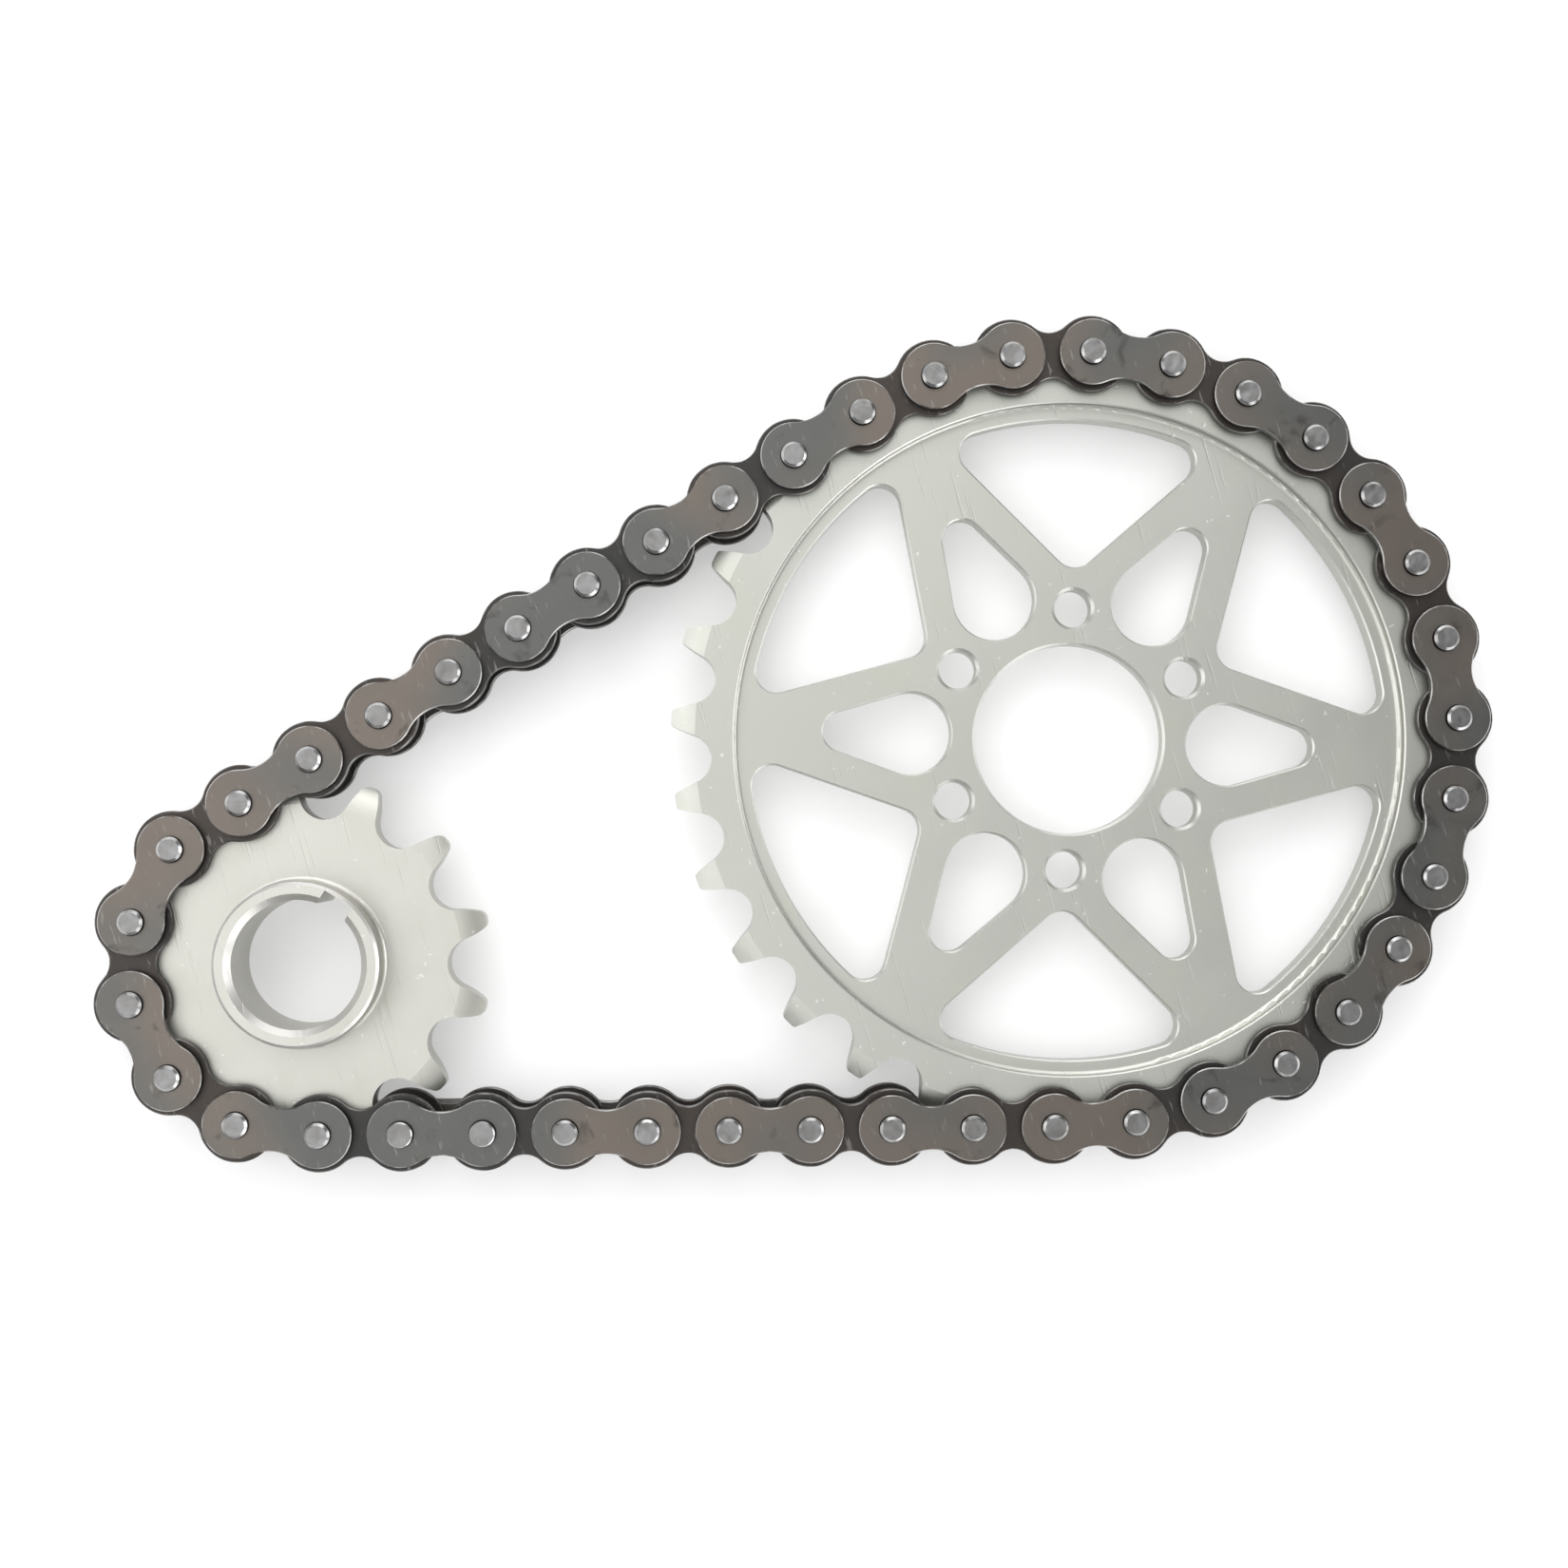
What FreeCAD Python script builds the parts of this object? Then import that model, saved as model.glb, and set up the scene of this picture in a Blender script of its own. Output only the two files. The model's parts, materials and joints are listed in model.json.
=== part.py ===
import FreeCAD, Part
import math
import os
from FreeCAD import Placement, Rotation, Vector

# Chain drive set: an endless roller chain of 42 links round a 13-tooth and a 30-tooth sprocket.
# Frame: origin at the centre of the rear sprocket's bore, halfway through its teeth.
# +Z runs along the sprocket axes towards the front sprocket's long hub.
# +X runs from the front sprocket to the rear sprocket. Millimetres.

# ---- driving dimensions of the chain -------------------------------------------------------
PITCH = 12.7
INNER_GAP = 6.4
PLATE = 1.5
SIDE_PLAY = 0.1
PIN_RADIUS = 1.985
PIN_LENGTH = 14.8
PIN_BEVEL = 0.4
PIN_PLAY = 0.05
BUSH_RADIUS = 2.7
ROLLER_RADIUS = 3.885
ROLLER_PLAY = 0.08
OUTER_END_RADIUS = 5.2
OUTER_WAIST = 3.35
INNER_END_RADIUS = 6.0
INNER_WAIST = 3.6
PLATE_BEVEL = 0.16
ROLLER_BEVEL = 0.25

# ---- driving dimensions of both sprockets --------------------------------------------------
SEAT_PLAY = 0.1
TOOTH_HALF_THICKNESS = 2.9

# ---- driving dimensions of the rear sprocket -----------------------------------------------
REAR_TEETH = 30
REAR_TIP_RADIUS = 63.1
REAR_TIP_ROUND = 0.6
REAR_BEVEL_WIDTH = 3.8
REAR_BEVEL_HEIGHT = 1.3
REAR_BEVEL_CROWN = 0.2
BORE_RADIUS = 15.0
BORE_BEVEL = 0.4
WEB_TOP = 0.8
RING_INNER_RADIUS = 53.2
RING_LIP = 0.2
RING_FILLET = 0.7
WINDOW_COUNT = 6
WINDOW_BEVEL = 0.25
FIRST_WINDOW = 11.76
WINDOW_OUTER_RADIUS = 50.9
WINDOW_APEX = 26.1
WINDOW_HALF_ANGLE = 47.2
WINDOW_APEX_RADIUS = 3.5
WINDOW_CORNER_RADIUS = 3.3
DROP_INNER = 25.2
DROP_INNER_RADIUS = 6.5
DROP_OUTER = 35.9
DROP_OUTER_RADIUS = 3.2
BOLT_CIRCLE_RADIUS = 20.8
BOLT_HOLE_RADIUS = 2.95
BOLT_HOLE_BEVEL = 0.5

# ---- driving dimensions of the front sprocket ----------------------------------------------
FRONT_TEETH = 13
FRONT_TIP_RADIUS = 29.2
FRONT_TIP_ROUND = 1.2
FRONT_BEVEL_WIDTH = 4.4
FRONT_BEVEL_HEIGHT = 1.5
FRONT_BEVEL_CROWN = 0.3
HUB_RADIUS = 12.8
HUB_TOP = 9.2
HUB_BOTTOM = -6.9
HUB_BEVEL = 0.45
HUB_FILLET = 0.8
SHAFT_RADIUS = 10.0
SHAFT_BEVEL = 1.0
KEYWAY_WIDTH = 5.0
KEYWAY_RADIUS = 12.1
KEYWAY_ANGLE = 40.6

# ---- how the chain lies on the sprockets ---------------------------------------------------
RUN_LINKS = 9
REAR_LINKS = 18
FRONT_LINKS = 6
FIRST_REAR_SEAT = 106.8

# ---- the split connecting link, and the pivot that is left loose ---------------------------
CONNECTING_LINK = 2
LOOSE_PIN_LINK = 4
LOOSE_BUSH_LINK = 5
LOOSE_SHANK_RADIUS = 1.5
LOOSE_BUSH_BORE = 2.1
CLIP_THICKNESS = 0.7
CLIP_GROOVE_RADIUS = 1.45
CLIP_PLAY = 0.05
CLIP_END_RADIUS = 4.3
CLIP_WAIST = 3.9
CLIP_SLOT = 2.0
CLIP_MOUTH = 50.0
CLIP_BEVEL = 0.1

INNER_PLATE_BASE = INNER_GAP / 2
OUTER_PLATE_BASE = INNER_PLATE_BASE + PLATE + SIDE_PLAY
OUTER_FACE = OUTER_PLATE_BASE + PLATE
OVERCUT = 1.0  # how far a cutter reaches past the material it cuts
UP = Vector(0, 0, 1)
VIA = "via"
FILLET_MIDDLE = 1 - math.sqrt(0.5)


# ---- small helpers -------------------------------------------------------------------------
def polar(radius, degrees):
    return Vector(radius * math.cos(math.radians(degrees)), radius * math.sin(math.radians(degrees)), 0)


def direction(vector):
    return math.degrees(math.atan2(vector.y, vector.x))


def beyond(start, towards, distance):
    """Point at a distance from the start, on the ray through another point."""
    return start + polar(distance, direction(towards - start))


def crossing(centre, reach, radius):
    """Point at one distance from a centre and another from the origin, clockwise of the centre."""
    along = (radius ** 2 + centre.Length ** 2 - reach ** 2) / (2 * centre.Length)
    return polar(radius, direction(centre) - math.degrees(math.acos(along / radius)))


def cylinder(radius, low, high, at=Vector(0, 0, 0)):
    return Part.makeCylinder(radius, high - low, Vector(at.x, at.y, low), UP)


def tube(outer, inner, low, high, at=Vector(0, 0, 0)):
    return cylinder(outer, low, high, at).cut(cylinder(inner, low - OVERCUT, high + OVERCUT, at))


def turned(profile):
    """Solid of revolution about Z from (radius, height) corners. VIA marks the middle of an arc."""
    points = [Vector(corner[0], 0, corner[1]) for corner in profile]
    points.append(points[0])
    edges = []
    i = 0
    while i < len(profile):
        curved = i + 1 < len(profile) and profile[i + 1][-1] is VIA
        if curved:
            edges.append(arc(points[i], points[i + 1], points[i + 2]))
        else:
            edges.append(line(points[i], points[i + 1]))
        i += 2 if curved else 1
    return Part.Face(Part.Wire(edges)).revolve(Vector(0, 0, 0), UP, 360)


def prism(edges, low, high):
    face = Part.Face(Part.Wire(edges))
    face.translate(Vector(0, 0, low))
    return face.extrude(Vector(0, 0, high - low))


def arc(start, middle, end):
    return Part.Arc(start, middle, end).toShape()


def line(start, end):
    return Part.LineSegment(start, end).toShape()


def flat_edges(shape):
    return [edge for edge in shape.Edges if edge.BoundBox.ZLength < 1e-6]


def upright_edges(shape):
    return [edge for edge in shape.Edges if edge.BoundBox.ZLength > 1]


def moved(shape, at, degrees):
    copy = shape.copy()
    copy.Placement = Placement(at, Rotation(UP, degrees)).multiply(copy.Placement)
    return copy


def mirrored(shape):
    return shape.mirror(Vector(0, 0, 0), UP)


def around(shape, count, first):
    return [moved(shape, Vector(0, 0, 0), first + 360 * i / count) for i in range(count)]


def save(node, solids):
    shape = solids[0] if len(solids) == 1 else Part.makeCompound(solids)
    shape.exportStep("parts/" + node + ".step")


# ---- layout of the 42 pins -----------------------------------------------------------------
def pitch_radius(teeth):
    return PITCH / (2 * math.sin(math.pi / teeth))


def rear_seat(number):
    return polar(pitch_radius(REAR_TEETH), FIRST_REAR_SEAT - 360 * number / REAR_TEETH)


def front_seat_angle(front, rear_pin, side):
    """Angle about the front sprocket of the pin one straight run away from rear_pin."""
    reach = rear_pin - front
    run = RUN_LINKS * PITCH
    radius = pitch_radius(FRONT_TEETH)
    cosine = (radius ** 2 + reach.Length ** 2 - run ** 2) / (2 * radius * reach.Length)
    return direction(reach) + side * math.degrees(math.acos(cosine))


def front_wrap(distance):
    """First seat angle and angle wrapped by the chain on the front sprocket."""
    front = Vector(-distance, 0, 0)
    upper = front_seat_angle(front, rear_seat(0), 1)
    lower = front_seat_angle(front, rear_seat(REAR_LINKS), -1)
    return upper, (lower - upper) % 360


def centre_distance():
    """Centre distance at which both straight runs are exactly RUN_LINKS pitches long."""
    low = RUN_LINKS * PITCH
    high = 1.2 * low
    for _ in range(60):
        middle = (low + high) / 2
        if front_wrap(middle)[1] < 360 * FRONT_LINKS / FRONT_TEETH:
            low = middle
        else:
            high = middle
    return low


def along(start, end):
    return [start + (end - start) * (i / RUN_LINKS) for i in range(RUN_LINKS)]


def pin_centres(front, first_seat):
    """Every pin of the loop: upper run, front sprocket, lower run, rear sprocket."""
    step = 360 / FRONT_TEETH
    radius = pitch_radius(FRONT_TEETH)
    seats = [front + polar(radius, first_seat + step * i) for i in range(FRONT_LINKS + 1)]
    wrap = [rear_seat(REAR_LINKS - i) for i in range(REAR_LINKS)]
    return along(rear_seat(0), seats[0]) + seats[:-1] + along(seats[-1], wrap[0]) + wrap


# ---- chain pieces, with the first pin at the origin and the second at (PITCH, 0) ------------
def plate(end_radius, waist, hole_radius, base, thickness, bevel):
    """Figure-eight plate standing on the height base, its outline and holes bevelled."""
    half = PITCH / 2
    waist_radius = (half ** 2 + waist ** 2 - end_radius ** 2) / (2 * (end_radius - waist))
    angle = math.degrees(math.atan2(waist + waist_radius, half))
    corner = polar(end_radius, angle)
    top_left = Vector(corner.x, corner.y, 0)
    top_right = Vector(PITCH - corner.x, corner.y, 0)
    low_left = Vector(corner.x, -corner.y, 0)
    low_right = Vector(PITCH - corner.x, -corner.y, 0)
    edges = [
        arc(top_left, Vector(half, waist, 0), top_right),
        arc(top_right, Vector(PITCH + end_radius, 0, 0), low_right),
        arc(low_right, Vector(half, -waist, 0), low_left),
        arc(low_left, Vector(-end_radius, 0, 0), top_left),
    ]
    top = base + thickness
    holes = [cylinder(hole_radius, base - OVERCUT, top + OVERCUT, Vector(x, 0, 0)) for x in (0, PITCH)]
    blank = prism(edges, base, top).cut(holes)
    return blank.makeChamfer(bevel, flat_edges(blank))


def outer_plates():
    top = plate(OUTER_END_RADIUS, OUTER_WAIST, PIN_RADIUS, OUTER_PLATE_BASE, PLATE, PLATE_BEVEL)
    return [top, mirrored(top)]


def inner_plates():
    top = plate(INNER_END_RADIUS, INNER_WAIST, BUSH_RADIUS, INNER_PLATE_BASE, PLATE, PLATE_BEVEL)
    return [top, mirrored(top)]


def riveted_pin(x):
    half = PIN_LENGTH / 2
    rod = cylinder(PIN_RADIUS, -half, half, Vector(x, 0, 0))
    return rod.makeChamfer(PIN_BEVEL, flat_edges(rod))


def loose_pin(x):
    """The pin of the loose pivot: full size in its plates, thin between them."""
    base = OUTER_PLATE_BASE
    waist = tube(PIN_RADIUS + OVERCUT, LOOSE_SHANK_RADIUS, -base, base, Vector(x, 0, 0))
    return riveted_pin(x).cut(waist)


def clip_pin(x):
    """Pin of the connecting link, grooved under the cover plate for the spring clip."""
    top = -OUTER_FACE
    bottom = top - CLIP_THICKNESS - 2 * CLIP_PLAY
    groove = tube(PIN_RADIUS + OVERCUT, CLIP_GROOVE_RADIUS, bottom, top, Vector(x, 0, 0))
    rod = cylinder(PIN_RADIUS, -PIN_LENGTH / 2, PIN_LENGTH / 2, Vector(x, 0, 0))
    return rod.makeChamfer(PIN_BEVEL / 2, flat_edges(rod)).cut(groove)


def bush(x, bore=PIN_RADIUS + PIN_PLAY):
    half = INNER_PLATE_BASE + PLATE
    return tube(BUSH_RADIUS, bore, -half, half, Vector(x, 0, 0))


def roller(x):
    half = INNER_GAP / 2 - SIDE_PLAY
    rod = cylinder(ROLLER_RADIUS, -half, half, Vector(x, 0, 0))
    rod = rod.makeChamfer(ROLLER_BEVEL, flat_edges(rod))
    return rod.cut(cylinder(BUSH_RADIUS + ROLLER_PLAY, -half - 1, half + 1, Vector(x, 0, 0)))


def spring_clip():
    """Flat fork closed round the second pin, its two legs sprung round the first."""
    top = -OUTER_FACE - CLIP_PLAY
    bottom = top - CLIP_THICKNESS
    hug = CLIP_GROOVE_RADIUS + CLIP_PLAY
    blank = plate(CLIP_END_RADIUS, CLIP_WAIST, hug, bottom, CLIP_THICKNESS, CLIP_BEVEL)
    height = CLIP_THICKNESS + 2 * OVERCUT
    slot = Part.makeBox(PITCH, CLIP_SLOT, height, Vector(0, -CLIP_SLOT / 2, bottom - OVERCUT))
    side = polar(2 * CLIP_END_RADIUS, CLIP_MOUTH / 2)
    corners = [Vector(0, 0, 0), Vector(-side.x, side.y, 0), Vector(-side.x, -side.y, 0)]
    sides = [line(corners[i], corners[(i + 1) % 3]) for i in range(3)]
    return blank.cut([slot, prism(sides, bottom - OVERCUT, top + OVERCUT)])


# ---- sprockets -----------------------------------------------------------------------------
def tooth_gap(teeth, tip_radius, tip_round):
    """Cutter for one gap, seat towards +X: a roller seat, then a flank and a rounded tip on each side.

    The flank radius and the angle that the seat spans follow the standard tooth form.
    """
    axis = Vector(0, 0, 0)
    centre = Vector(pitch_radius(teeth), 0, 0)
    seat = ROLLER_RADIUS + SEAT_PLAY
    flank = 0.24 * ROLLER_RADIUS * (teeth + 2)
    lean = 110 + 45 / teeth
    flank_centre = centre + polar(seat + flank, lean)
    round_centre = crossing(flank_centre, flank - tip_round, tip_radius - tip_round)
    start = centre + polar(seat, lean)
    flank_end = beyond(flank_centre, round_centre, flank)
    tip = beyond(axis, round_centre, tip_radius)
    upper = [
        start,
        beyond(flank_centre, (start + flank_end) / 2, flank),
        flank_end,
        beyond(round_centre, (flank_end + tip) / 2, tip_round),
        tip,
        beyond(axis, round_centre, tip_radius + 2 * OVERCUT),
    ]
    lower = [Vector(point.x, -point.y, 0) for point in upper]
    edges = [
        arc(upper[0], centre - Vector(seat, 0, 0), lower[0]),
        arc(lower[0], lower[1], lower[2]),
        arc(lower[2], lower[3], lower[4]),
        line(lower[4], lower[5]),
        line(lower[5], upper[5]),
        line(upper[5], upper[4]),
        arc(upper[4], upper[3], upper[2]),
        arc(upper[2], upper[1], upper[0]),
    ]
    return prism(edges, -TOOTH_HALF_THICKNESS - OVERCUT, TOOTH_HALF_THICKNESS + OVERCUT)


def tooth_edge(tip_radius, width, height, crown):
    """Corners of a blank's rim: both faces curve in towards the tips over the bevel's width."""
    shoulder = tip_radius - width
    middle = TOOTH_HALF_THICKNESS - height / 2 + crown
    return [
        (shoulder, -TOOTH_HALF_THICKNESS),
        (tip_radius - width / 2, -middle, VIA),
        (tip_radius, height - TOOTH_HALF_THICKNESS),
        (tip_radius, TOOTH_HALF_THICKNESS - height),
        (tip_radius - width / 2, middle, VIA),
        (shoulder, TOOTH_HALF_THICKNESS),
    ]


def rear_blank():
    low = -TOOTH_HALF_THICKNESS
    high = TOOTH_HALF_THICKNESS
    edge = tooth_edge(REAR_TIP_RADIUS, REAR_BEVEL_WIDTH, REAR_BEVEL_HEIGHT, REAR_BEVEL_CROWN)
    return turned([
        (BORE_RADIUS + BORE_BEVEL, low),
        *edge,
        (RING_INNER_RADIUS + RING_LIP, high),
        (RING_INNER_RADIUS, high - RING_LIP),
        (RING_INNER_RADIUS, WEB_TOP + RING_FILLET),
        (RING_INNER_RADIUS - FILLET_MIDDLE * RING_FILLET, WEB_TOP + FILLET_MIDDLE * RING_FILLET, VIA),
        (RING_INNER_RADIUS - RING_FILLET, WEB_TOP),
        (BORE_RADIUS + BORE_BEVEL, WEB_TOP),
        (BORE_RADIUS, WEB_TOP - BORE_BEVEL),
        (BORE_RADIUS, low + BORE_BEVEL),
    ])


def window_cutter():
    """Large window: straight sides from a rounded apex to an arc near the toothed ring."""
    slope = math.radians(WINDOW_HALF_ANGLE)
    offset = math.degrees(math.asin(WINDOW_APEX * math.sin(slope) / WINDOW_OUTER_RADIUS))
    corner = WINDOW_HALF_ANGLE - offset
    left = polar(WINDOW_OUTER_RADIUS, corner)
    right = polar(WINDOW_OUTER_RADIUS, -corner)
    apex = Vector(WINDOW_APEX, 0, 0)
    edges = [line(apex, right), arc(right, Vector(WINDOW_OUTER_RADIUS, 0, 0), left), line(left, apex)]
    sharp = prism(edges, -2 * TOOTH_HALF_THICKNESS, 2 * TOOTH_HALF_THICKNESS)
    by_radius = sorted(upright_edges(sharp), key=lambda edge: edge.CenterOfMass.x)
    blunt = sharp.makeFillet(WINDOW_CORNER_RADIUS, by_radius[1:])
    by_radius = sorted(upright_edges(blunt), key=lambda edge: edge.CenterOfMass.x)
    return blunt.makeFillet(WINDOW_APEX_RADIUS, by_radius[:1])


def drop_cutter():
    """Teardrop window in a spoke: two circles joined by their common tangents."""
    spread = math.degrees(math.acos((DROP_INNER_RADIUS - DROP_OUTER_RADIUS) / (DROP_OUTER - DROP_INNER)))
    inner = Vector(DROP_INNER, 0, 0)
    outer = Vector(DROP_OUTER, 0, 0)
    inner_top = inner + polar(DROP_INNER_RADIUS, spread)
    inner_low = inner + polar(DROP_INNER_RADIUS, -spread)
    outer_top = outer + polar(DROP_OUTER_RADIUS, spread)
    outer_low = outer + polar(DROP_OUTER_RADIUS, -spread)
    edges = [
        line(outer_top, inner_top),
        arc(inner_top, inner - Vector(DROP_INNER_RADIUS, 0, 0), inner_low),
        line(inner_low, outer_low),
        arc(outer_low, outer + Vector(DROP_OUTER_RADIUS, 0, 0), outer_top),
    ]
    return prism(edges, -2 * TOOTH_HALF_THICKNESS, 2 * TOOTH_HALF_THICKNESS)


def bolt_hole_cutter():
    """Through hole for one sprocket bolt, bevelled at the web's top face."""
    at = polar(BOLT_CIRCLE_RADIUS, 0)
    hole = cylinder(BOLT_HOLE_RADIUS, -2 * TOOTH_HALF_THICKNESS, 2 * TOOTH_HALF_THICKNESS, at)
    wide = BOLT_HOLE_RADIUS + BOLT_HOLE_BEVEL
    low = Vector(at.x, at.y, WEB_TOP - BOLT_HOLE_BEVEL)
    return hole.fuse(Part.makeCone(BOLT_HOLE_RADIUS, wide, BOLT_HOLE_BEVEL, low, UP))


def rear_sprocket():
    half_step = 180 / WINDOW_COUNT
    cutters = around(tooth_gap(REAR_TEETH, REAR_TIP_RADIUS, REAR_TIP_ROUND), REAR_TEETH, FIRST_REAR_SEAT)
    cutters += around(window_cutter(), WINDOW_COUNT, FIRST_WINDOW)
    cutters += around(drop_cutter(), WINDOW_COUNT, FIRST_WINDOW + half_step)
    blank = rear_blank().cut(cutters)
    web_edges = [edge for edge in flat_edges(blank) if abs(edge.CenterOfMass.z - WEB_TOP) < 1e-6]
    window_rims = [edge for edge in web_edges if edge.CenterOfMass.Length > BORE_RADIUS]
    blank = blank.makeChamfer(WINDOW_BEVEL, window_rims)
    return blank.cut(around(bolt_hole_cutter(), WINDOW_COUNT, FIRST_WINDOW))


def front_blank():
    low = -TOOTH_HALF_THICKNESS
    high = TOOTH_HALF_THICKNESS
    edge = tooth_edge(FRONT_TIP_RADIUS, FRONT_BEVEL_WIDTH, FRONT_BEVEL_HEIGHT, FRONT_BEVEL_CROWN)
    return turned([
        (SHAFT_RADIUS + SHAFT_BEVEL, HUB_BOTTOM),
        (HUB_RADIUS - HUB_BEVEL, HUB_BOTTOM),
        (HUB_RADIUS, HUB_BOTTOM + HUB_BEVEL),
        (HUB_RADIUS, low - HUB_FILLET),
        (HUB_RADIUS + FILLET_MIDDLE * HUB_FILLET, low - FILLET_MIDDLE * HUB_FILLET, VIA),
        (HUB_RADIUS + HUB_FILLET, low),
        *edge,
        (HUB_RADIUS + HUB_FILLET, high),
        (HUB_RADIUS + FILLET_MIDDLE * HUB_FILLET, high + FILLET_MIDDLE * HUB_FILLET, VIA),
        (HUB_RADIUS, high + HUB_FILLET),
        (HUB_RADIUS, HUB_TOP - HUB_BEVEL),
        (HUB_RADIUS - HUB_BEVEL, HUB_TOP),
        (SHAFT_RADIUS + SHAFT_BEVEL, HUB_TOP),
        (SHAFT_RADIUS, HUB_TOP - SHAFT_BEVEL),
        (SHAFT_RADIUS, HUB_BOTTOM + SHAFT_BEVEL),
    ])


def keyway_cutter():
    height = HUB_TOP - HUB_BOTTOM + 2 * OVERCUT
    low = Vector(0, -KEYWAY_WIDTH / 2, HUB_BOTTOM - OVERCUT)
    slot = Part.makeBox(KEYWAY_RADIUS, KEYWAY_WIDTH, height, low)
    return moved(slot, Vector(0, 0, 0), KEYWAY_ANGLE)


def front_sprocket(front, first_seat):
    cutters = around(tooth_gap(FRONT_TEETH, FRONT_TIP_RADIUS, FRONT_TIP_ROUND), FRONT_TEETH, first_seat)
    return moved(front_blank().cut(cutters + [keyway_cutter()]), front, 0)


# ---- assembly ------------------------------------------------------------------------------
def main():
    os.makedirs("parts", exist_ok=True)
    distance = centre_distance()
    first_seat = front_wrap(distance)[0]
    front = Vector(-distance, 0, 0)
    pins = pin_centres(front, first_seat)

    def place(shapes, link):
        start = pins[link]
        heading = direction(pins[(link + 1) % len(pins)] - start)
        return [moved(shape, start, heading) for shape in shapes]

    def place_all(shapes, links):
        return [solid for link in links for solid in place(shapes, link)]

    both = (0, PITCH)
    outer_links = range(0, len(pins), 2)
    inner_links = range(1, len(pins), 2)
    front_start = RUN_LINKS
    lower_start = front_start + FRONT_LINKS
    rear_start = lower_start + RUN_LINKS

    save("rear_sprocket", [rear_sprocket()])
    save("front_sprocket", [front_sprocket(front, first_seat)])

    wraps = {"rear_wrap": range(rear_start, len(pins)), "front_wrap": range(front_start, lower_start)}
    for name, links in wraps.items():
        outer = [link for link in links if link in outer_links]
        inner = [link for link in links if link in inner_links]
        save(name + "_outer_plates", place_all(outer_plates(), outer))
        save(name + "_pins", place_all([riveted_pin(x) for x in both], outer))
        save(name + "_inner_plates", place_all(inner_plates(), inner))
        save(name + "_bushes", place_all([bush(x) for x in both], inner))
        save(name + "_rollers", place_all([roller(x) for x in both], inner))

    runs = {"upper_link_": 0, "lower_link_": lower_start}
    for run, first in runs.items():
        for number in range(1, RUN_LINKS + 1):
            link = first + number - 1
            name = run + str(number)
            lower = run == "lower_link_"
            if lower and number == CONNECTING_LINK:
                top, cover = outer_plates()
                save("connecting_link_pin_plate", place([top], link))
                save("connecting_link_cover_plate", place([cover], link))
                save("connecting_link_pins", place([clip_pin(x) for x in both], link))
                save("connecting_link_spring_clip", place([spring_clip()], link))
            elif link in outer_links:
                far_pin = loose_pin(PITCH) if lower and number == LOOSE_PIN_LINK else riveted_pin(PITCH)
                save(name + "_plates", place(outer_plates(), link))
                save(name + "_pins", place([riveted_pin(0), far_pin], link))
            else:
                loose = lower and number == LOOSE_BUSH_LINK
                near_bush = bush(0, LOOSE_BUSH_BORE) if loose else bush(0)
                frame = inner_plates() + [near_bush, bush(PITCH)]
                save(name + "_frame", place(frame, link))
                save(name + "_roller_a", place([roller(0)], link))
                save(name + "_roller_b", place([roller(PITCH)], link))
    print("centre distance", round(distance, 4), "first front seat", round(first_seat, 4))


main()
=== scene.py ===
import bpy
import json
import math
from mathutils import Euler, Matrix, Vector


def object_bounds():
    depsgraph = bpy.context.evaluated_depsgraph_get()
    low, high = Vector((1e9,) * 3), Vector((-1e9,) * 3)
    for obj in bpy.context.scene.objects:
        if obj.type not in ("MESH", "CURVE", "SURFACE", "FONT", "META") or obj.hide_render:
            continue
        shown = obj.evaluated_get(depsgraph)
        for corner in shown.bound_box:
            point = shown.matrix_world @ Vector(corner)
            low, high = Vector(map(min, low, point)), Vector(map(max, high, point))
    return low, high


# Chain drive set: a roller chain round two sprockets, on a plain white studio floor.
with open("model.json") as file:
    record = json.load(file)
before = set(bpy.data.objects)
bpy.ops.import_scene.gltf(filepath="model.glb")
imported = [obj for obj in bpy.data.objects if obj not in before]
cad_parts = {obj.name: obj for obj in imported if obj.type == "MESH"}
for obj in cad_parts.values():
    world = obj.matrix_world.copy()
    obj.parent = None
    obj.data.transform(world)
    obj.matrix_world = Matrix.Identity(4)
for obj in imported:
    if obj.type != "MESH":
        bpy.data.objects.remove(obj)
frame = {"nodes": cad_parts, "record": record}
cad_box = [list(corner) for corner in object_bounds()]
nodes = frame["nodes"]

# ---- sizes and places, in metres -----------------------------------------------------------
FLOOR_Z = min(corner[2] for corner in cad_box)
FLOOR_SIZE = 8.0
CAMERA_PLACE = (-0.05748, 0.00281, 0.35741)
CAMERA_TURN = (1.005, -1.726, -16.256)
SENSOR = 36.0
LENS = 51.82
IMAGE_UP = math.radians(73.76)
FLOOR_TONE = 0.62
FLOOR_GLOW = 0.36
WORLD_STRENGTH = 0.26
LIGHT_AIM = Vector((-0.06, 0, 0))
# Each soft light: degrees round from the picture's right, degrees above the floor, size, power.
LIGHTS = {
    "top_light": (90, 33, 1.0, 6.0),
    "left_light": (180, 33, 1.0, 4.6),
    "upper_left_light": (135, 60, 1.2, 3.8),
    "upper_light": (90, 60, 1.0, 1.8),
    "lower_left_light": (225, 60, 1.0, 1.6),
    "lower_light": (285, 60, 1.0, 2.0),
    "right_light": (0, 16, 0.6, 3.0),
    "lower_right_light": (310, 14, 0.7, 4.0),
}


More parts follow.
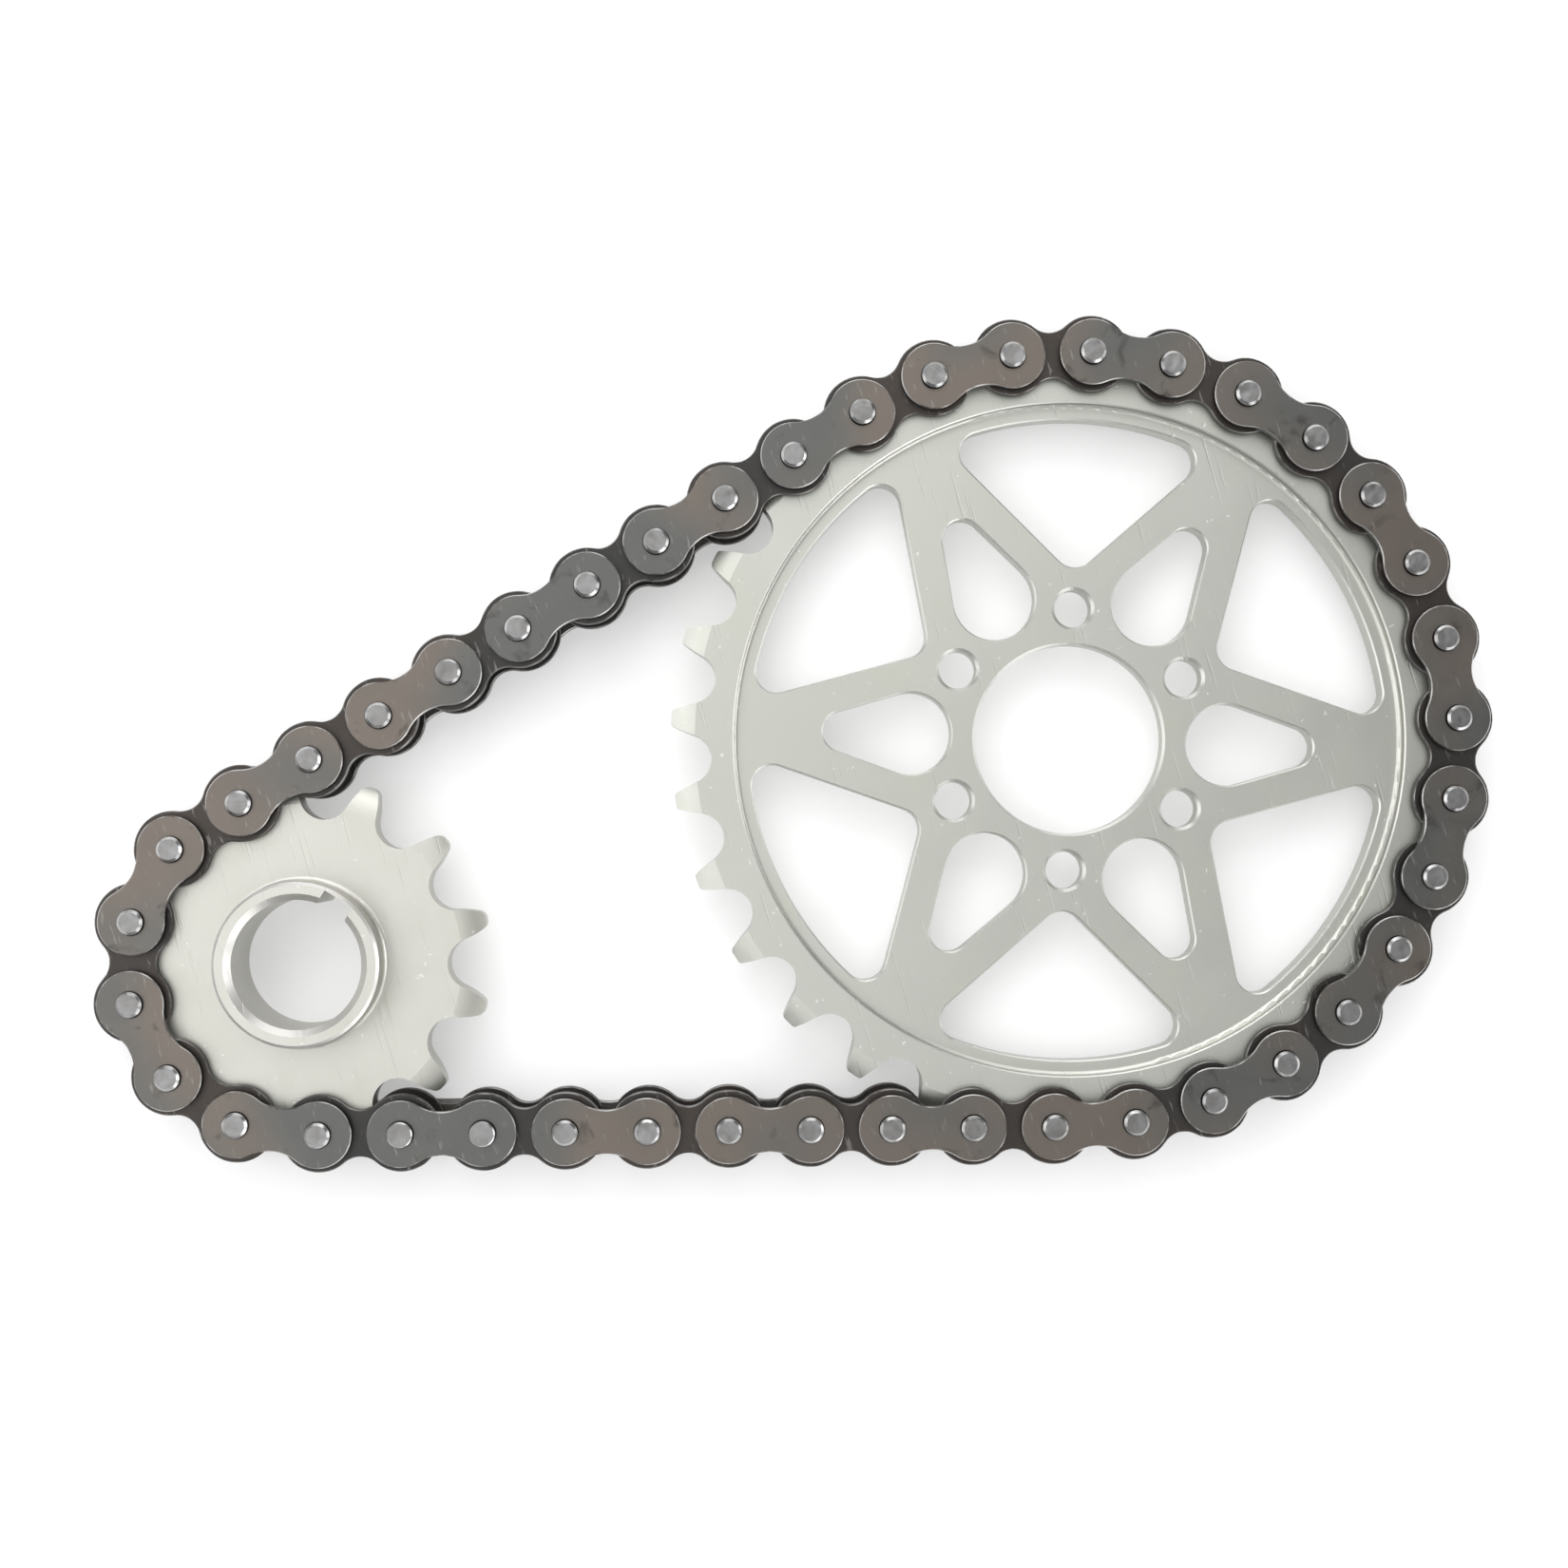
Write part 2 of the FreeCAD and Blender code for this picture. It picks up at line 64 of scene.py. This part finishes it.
# ---- node helpers --------------------------------------------------------------------------
class Shader:
    """A material whose nodes are added one by one, on object coordinates in metres.

    Noise scales count features per metre; bump distances are in metres.
    """

    def __init__(self, name):
        self.material = bpy.data.materials.new(name)
        self.material.use_nodes = True
        self.nodes = self.material.node_tree.nodes
        self.links = self.material.node_tree.links
        self.surface = self.nodes["Principled BSDF"]
        self.place = self.nodes.new("ShaderNodeTexCoord").outputs["Object"]

    def put(self, socket, value):
        if isinstance(value, bpy.types.NodeSocket):
            self.links.new(value, socket)
        else:
            socket.default_value = value

    def noise(self, scale, detail=3.0, rough=0.55, stretch=None, distort=0.0):
        node = self.nodes.new("ShaderNodeTexNoise")
        self.put(node.inputs["Vector"], self.stretched(stretch) if stretch else self.place)
        node.inputs["Scale"].default_value = scale
        node.inputs["Detail"].default_value = detail
        node.inputs["Roughness"].default_value = rough
        node.inputs["Distortion"].default_value = distort
        return node.outputs["Fac"]

    def stretched(self, factors):
        node = self.nodes.new("ShaderNodeMapping")
        self.links.new(self.place, node.inputs["Vector"])
        node.inputs["Scale"].default_value = factors[:3]
        node.inputs["Rotation"].default_value = (0, 0, math.radians(factors[3]))
        return node.outputs["Vector"]

    def math(self, kind, a, b=0.0, c=0.0):
        node = self.nodes.new("ShaderNodeMath")
        node.operation = kind
        for socket, value in zip(node.inputs, (a, b, c)):
            self.put(socket, value)
        return node.outputs[0]

    def between(self, value, low, high, out_low=0.0, out_high=1.0):
        node = self.nodes.new("ShaderNodeMapRange")
        node.interpolation_type = "SMOOTHSTEP"
        node.clamp = True
        for name, item in (("Value", value), ("From Min", low), ("From Max", high)):
            self.put(node.inputs[name], item)
        node.inputs["To Min"].default_value = out_low
        node.inputs["To Max"].default_value = out_high
        return node.outputs["Result"]

    def mix(self, factor, a, b):
        """Blend of two colours: the node's inputs 6 and 7 and its output 2 are its colour sockets."""
        node = self.nodes.new("ShaderNodeMix")
        node.data_type = "RGBA"
        self.put(node.inputs["Factor"], factor)
        self.put(node.inputs[6], a)
        self.put(node.inputs[7], b)
        return node.outputs[2]

    def tilt(self):
        """How far a face leans from flat: 0 on the plates' faces, 1 on upright walls."""
        geometry = self.nodes.new("ShaderNodeNewGeometry")
        parts = self.nodes.new("ShaderNodeSeparateXYZ")
        self.links.new(geometry.outputs["Normal"], parts.inputs[0])
        return self.math("SUBTRACT", 1.0, self.math("ABSOLUTE", parts.outputs["Z"]))

    def bump(self, height, distance, strength=1.0):
        node = self.nodes.new("ShaderNodeBump")
        node.inputs["Distance"].default_value = distance
        node.inputs["Strength"].default_value = strength
        self.links.new(height, node.inputs["Height"])
        self.links.new(node.outputs["Normal"], self.surface.inputs["Normal"])

    def finish(self, colour, rough, metallic=1.0):
        self.put(self.surface.inputs["Base Color"], colour)
        self.put(self.surface.inputs["Roughness"], rough)
        self.put(self.surface.inputs["Metallic"], metallic)
        return self.material


def grey(value, warm=0.0):
    """Linear colour of a nearly neutral metal, warmer with a larger second value."""
    return (value * (1 + warm), value, value * (1 - warm), 1.0)


# ---- materials -----------------------------------------------------------------------------
def plate_steel(name, brown, steel, worn, rough):
    """Blued, oiled chain plate: smudges, tumbling marks, painted shade on its upright walls and thin worn
    edges.
    """
    s = Shader(name)
    patch = s.noise(38, 1, 0.5)
    smudge = s.noise(150, 4, 0.6, distort=0.5)
    marks = s.noise(1400, 3, 0.7)
    base = s.mix(s.between(patch, 0.38, 0.62), brown, steel)
    stain = s.between(smudge, 0.30, 0.42, 0.55, 0.0)
    base = s.mix(stain, base, grey(0.04, 0.1))
    scuff = s.between(s.noise(1, 3, 0.6, stretch=(1500, 260, 300, 35)), 0.62, 0.72, 0.0, 0.45)
    base = s.mix(scuff, base, grey(0.26, 0.03))
    edge = s.between(s.tilt(), 0.10, 0.24)
    # Painted shade: upright walls are darkened towards near black by how far they lean.
    wall_shade = s.between(s.tilt(), 0.6, 0.9)
    wear = s.math("MULTIPLY", s.math("SUBTRACT", edge, wall_shade), s.between(s.noise(240, 3, 0.6), 0.35, 0.62))
    colour = s.mix(wear, s.mix(wall_shade, base, grey(0.05, 0.05)), worn)
    finish = s.math("ADD", s.between(smudge, 0.3, 0.75, rough, rough + 0.10), s.math("MULTIPLY", marks, 0.06))
    height = s.math("ADD", s.math("MULTIPLY", marks, 0.08), s.noise(110, 2, 0.5))
    s.bump(height, 0.00010)
    return s.finish(colour, finish)


def pin_steel():
    """Rivet head: hammered grey top, a bright rim painted as highlight and painted shade on its upright foot.
    """
    s = Shader("pin")
    dent = s.noise(420, 1, 0.5)
    grain = s.noise(2400, 2, 0.6)
    film = s.noise(300, 3, 0.6, distort=0.6)
    top = s.mix(s.between(film, 0.3, 0.7), grey(0.25, 0.0), grey(0.18, 0.02))
    edge = s.between(s.tilt(), 0.05, 0.2)
    # Painted shade: the upright foot of the head is darkened.
    wall_shade = s.between(s.tilt(), 0.7, 0.95)
    # Painted highlight: the rounded rim gets a brighter grey than the top.
    rim_highlight = s.mix(s.between(dent, 0.4, 0.6), grey(0.58, 0.0), grey(0.34, 0.0))
    colour = s.mix(wall_shade, s.mix(edge, top, rim_highlight), grey(0.14, 0.05))
    s.bump(s.math("ADD", s.math("MULTIPLY", grain, 0.02), dent), 0.00018)
    return s.finish(colour, 0.30)


def turned_steel(name, tone, rough):
    """Bushes, rollers and clip: fine turning scratches and a faint film of oil."""
    s = Shader(name)
    film = s.noise(180, 3, 0.6, distort=0.6)
    grain = s.noise(1500, 2, 0.6)
    colour = s.mix(s.between(film, 0.35, 0.7), grey(*tone), grey(tone[0] * 0.72, tone[1] * 1.5))
    finish = s.between(film, 0.3, 0.7, rough, rough + 0.14)
    s.bump(grain, 0.000006)
    return s.finish(colour, finish)


def zinc(name, light, dark, rough, cast, cast_share):
    """Plated sprocket: satin grain, soft blotches, pits, scratches, a faint colour cast and painted highlight
    on its bevels and slopes.
    """
    s = Shader(name)
    blotch = s.noise(30, 3, 0.55, distort=0.8)
    cloud = s.noise(95, 4, 0.6)
    grain = s.noise(2600, 2, 0.6)
    pits = s.between(s.noise(900, 2, 0.5), 0.70, 0.76)
    scratch = s.between(s.noise(1, 2, 0.6, stretch=(1900, 60, 200, 24)), 0.64, 0.72)
    colour = s.mix(s.between(blotch, 0.35, 0.65), light, dark)
    colour = s.mix(s.between(cloud, 0.50, 0.75, 0.0, cast_share), colour, cast)
    colour = s.mix(s.math("MULTIPLY", pits, 0.25), colour, grey(0.92, 0.0))
    # Painted highlight: bevels and slopes are lightened towards pale grey, upright walls only a little.
    bevel_highlight = s.math("SUBTRACT", s.between(s.tilt(), 0.14, 0.30), s.between(s.tilt(), 0.75, 0.95, 0.0, 0.9))
    colour = s.mix(s.math("MULTIPLY", bevel_highlight, 0.6), colour, grey(0.86, 0.02))
    height = s.math("SUBTRACT", s.math("MULTIPLY", grain, 0.35), s.math("ADD", pits, scratch))
    s.bump(height, 0.000018)
    finish = s.between(cloud, 0.3, 0.7, rough - 0.02, rough + 0.03)
    return s.finish(colour, finish)


def white_floor():
    s = Shader("white_floor")
    s.surface.inputs["Specular IOR Level"].default_value = 0.0
    s.surface.inputs["Emission Color"].default_value = (1.0, 1.0, 1.0, 1.0)
    s.surface.inputs["Emission Strength"].default_value = FLOOR_GLOW
    return s.finish((FLOOR_TONE, FLOOR_TONE, FLOOR_TONE, 1.0), 0.9, 0.0)


MATERIALS = {
    "outer_plate_steel": plate_steel("outer_plate", (0.150, 0.131, 0.115, 1), (0.112, 0.114, 0.110, 1),
                                     grey(0.50, 0.02), 0.32),
    "inner_plate_steel": plate_steel("inner_plate", (0.058, 0.051, 0.046, 1), (0.048, 0.047, 0.046, 1),
                                     grey(0.26, 0.03), 0.34),
    "pin_steel": pin_steel(),
    "bush_steel": turned_steel("bush", (0.30, 0.02), 0.35),
    "roller_steel": turned_steel("roller", (0.33, 0.03), 0.30),
    "clip_steel": turned_steel("clip", (0.32, 0.02), 0.32),
    "rear_sprocket_zinc": zinc("rear_zinc", (0.465, 0.475, 0.437, 1), (0.450, 0.455, 0.417, 1), 0.40,
                               (0.455, 0.460, 0.385, 1), 0.4),
    "front_sprocket_nickel": zinc("front_zinc", (0.49, 0.485, 0.45, 1), (0.47, 0.47, 0.43, 1), 0.42,
                                  (0.455, 0.445, 0.39, 1), 0.3),
}


def dress_cad():
    slots = {item["node"]: item["material_slot"] for item in frame["record"]["subparts"]}
    for name, node in nodes.items():
        for slot in node.material_slots:
            slot.material = MATERIALS[slots[name]]


# ---- studio --------------------------------------------------------------------------------
def add_floor():
    mesh = bpy.data.meshes.new("floor")
    half = FLOOR_SIZE / 2
    corners = [(-half, -half, FLOOR_Z), (half, -half, FLOOR_Z), (half, half, FLOOR_Z), (-half, half, FLOOR_Z)]
    mesh.from_pydata(corners, [], [(0, 1, 2, 3)])
    floor = bpy.data.objects.new("floor", mesh)
    floor.data.materials.append(white_floor())
    bpy.context.collection.objects.link(floor)


def add_panel(name, turn, rise, size, power):
    """Square soft light one metre from the part, facing it."""
    heading = IMAGE_UP - math.pi / 2 + math.radians(turn)
    level = math.cos(math.radians(rise))
    height = math.sin(math.radians(rise))
    place = LIGHT_AIM + Vector((level * math.cos(heading), level * math.sin(heading), height))
    light = bpy.data.lights.new(name, "AREA")
    light.size = size
    light.energy = power
    panel = bpy.data.objects.new(name, light)
    panel.location = place
    panel.rotation_euler = (LIGHT_AIM - place).to_track_quat("-Z", "Y").to_euler()
    bpy.context.collection.objects.link(panel)


def add_world(strength):
    world = bpy.data.worlds.new("studio")
    world.use_nodes = True
    background = world.node_tree.nodes["Background"]
    background.inputs["Color"].default_value = (1, 1, 1, 1)
    background.inputs["Strength"].default_value = strength
    bpy.context.scene.world = world


def add_camera():
    data = bpy.data.cameras.new("camera")
    data.sensor_width = SENSOR
    data.lens = LENS
    data.clip_start = 0.01
    camera = bpy.data.objects.new("camera", data)
    camera.location = CAMERA_PLACE
    camera.rotation_euler = Euler([math.radians(a) for a in CAMERA_TURN], "XYZ")
    bpy.context.collection.objects.link(camera)
    bpy.context.scene.camera = camera


dress_cad()
add_floor()
add_world(WORLD_STRENGTH)
for light_name, settings in LIGHTS.items():
    add_panel(light_name, *settings)
add_camera()
bpy.context.scene.view_settings.view_transform = "Standard"
